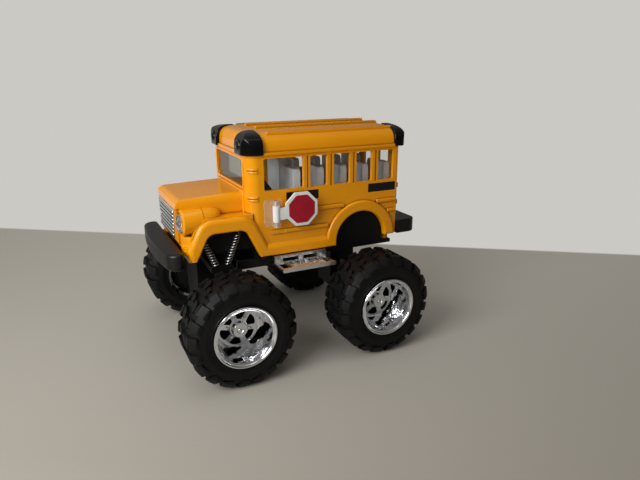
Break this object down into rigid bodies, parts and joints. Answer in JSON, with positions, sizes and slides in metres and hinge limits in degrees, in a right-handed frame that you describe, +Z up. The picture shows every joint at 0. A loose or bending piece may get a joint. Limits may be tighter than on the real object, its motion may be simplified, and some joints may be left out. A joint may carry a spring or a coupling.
{
  "type": "toy bus",
  "caption": "Toy school bus on big off-road wheels, with a cast body, sprung front axle, pull-back motor, side steps and a stop sign that swings out.",
  "frame": {"origin": "on the floor under the middle of the bus's bounding box", "axes": "+X forward, +Y to the bus's left, +Z up"},
  "size_m": [0.1228, 0.1014, 0.0997],
  "materials": {
    "yellow_enamel": "gloss enamel on die-cast zinc",
    "gloss_black_abs": "gloss moulded",
    "clear_styrene": "clear moulded",
    "grey_abs": "satin moulded",
    "black_abs": "satin moulded",
    "chromed_abs": "bright vacuum-plated ABS",
    "plated_steel": "bright zinc plate",
    "red_abs": "printed red face with a white border",
    "tyre_rubber": "matt moulded rubber",
    "ivory_acetal": "moulded"
  },
  "bodies": {
    "bus": {"body_shell": "yellow_enamel", "roof": "yellow_enamel", "lamp_pod_front_left": "gloss_black_abs", "lamp_pod_front_right": "gloss_black_abs", "lamp_pod_rear_left": "gloss_black_abs", "lamp_pod_rear_right": "gloss_black_abs", "glazing": "clear_styrene", "seat_moulding": "grey_abs", "dashboard": "black_abs", "chassis": "black_abs", "front_bumper": "black_abs", "rear_bumper": "black_abs", "grille": "chromed_abs", "headlight_left": "chromed_abs", "headlight_right": "chromed_abs", "side_step_left": "chromed_abs", "side_step_right": "chromed_abs", "sign_bracket": "clear_styrene", "sign_pin": "plated_steel", "spring_left_fore": "plated_steel", "spring_left_aft": "plated_steel", "spring_right_fore": "plated_steel", "spring_right_aft": "plated_steel", "motor_case_left": "black_abs", "motor_case_right": "black_abs", "mainspring": "plated_steel", "base_screws": "plated_steel"},
    "front_carrier": {"front_carrier": "black_abs", "guide_screws": "plated_steel"},
    "front_wheels": {"front_axle": "plated_steel", "tyre_front_left": "tyre_rubber", "tyre_front_right": "tyre_rubber", "rim_front_left": "chromed_abs", "rim_front_right": "chromed_abs"},
    "rear_wheels": {"rear_axle": "plated_steel", "drive_pinion": "ivory_acetal", "tyre_rear_left": "tyre_rubber", "tyre_rear_right": "tyre_rubber", "rim_rear_left": "chromed_abs", "rim_rear_right": "chromed_abs"},
    "winding": {"winding_gear": "ivory_acetal", "winding_arbor": "plated_steel"},
    "stop_sign": {"stop_sign": "red_abs"}
  },
  "joints": [
    {"name": "front_suspension", "type": "slide", "parent": "bus", "child": "front_carrier", "axis": [0, 0, 1], "range_m": [0, 0.0045], "stiffness_N_per_m": 500, "springref_m": -0.01, "deforming": ["spring_left_fore", "spring_left_aft", "spring_right_fore", "spring_right_aft"]},
    {"name": "front_wheels_spin", "type": "hinge", "parent": "front_carrier", "child": "front_wheels", "pos_m": [0.0359, 0, 0.0228], "axis": [0, 1, 0], "continuous": true},
    {"name": "rear_wheels_spin", "type": "hinge", "parent": "bus", "child": "rear_wheels", "pos_m": [-0.0301, 0, 0.0228], "axis": [0, 1, 0], "continuous": true},
    {"name": "winding_spin", "type": "hinge", "parent": "bus", "child": "winding", "pos_m": [-0.0301, 0, 0.03066], "axis": [0, 1, 0], "continuous": true},
    {"name": "stop_sign_swing", "type": "hinge", "parent": "bus", "child": "stop_sign", "pos_m": [0.0128, 0.0275, 0.065], "axis": [0, 0, -1], "range_deg": [0, 90]}
  ],
  "couplings": [
    {"joint": "winding_spin", "follows": "rear_wheels_spin", "ratio": -0.71429}
  ]
}
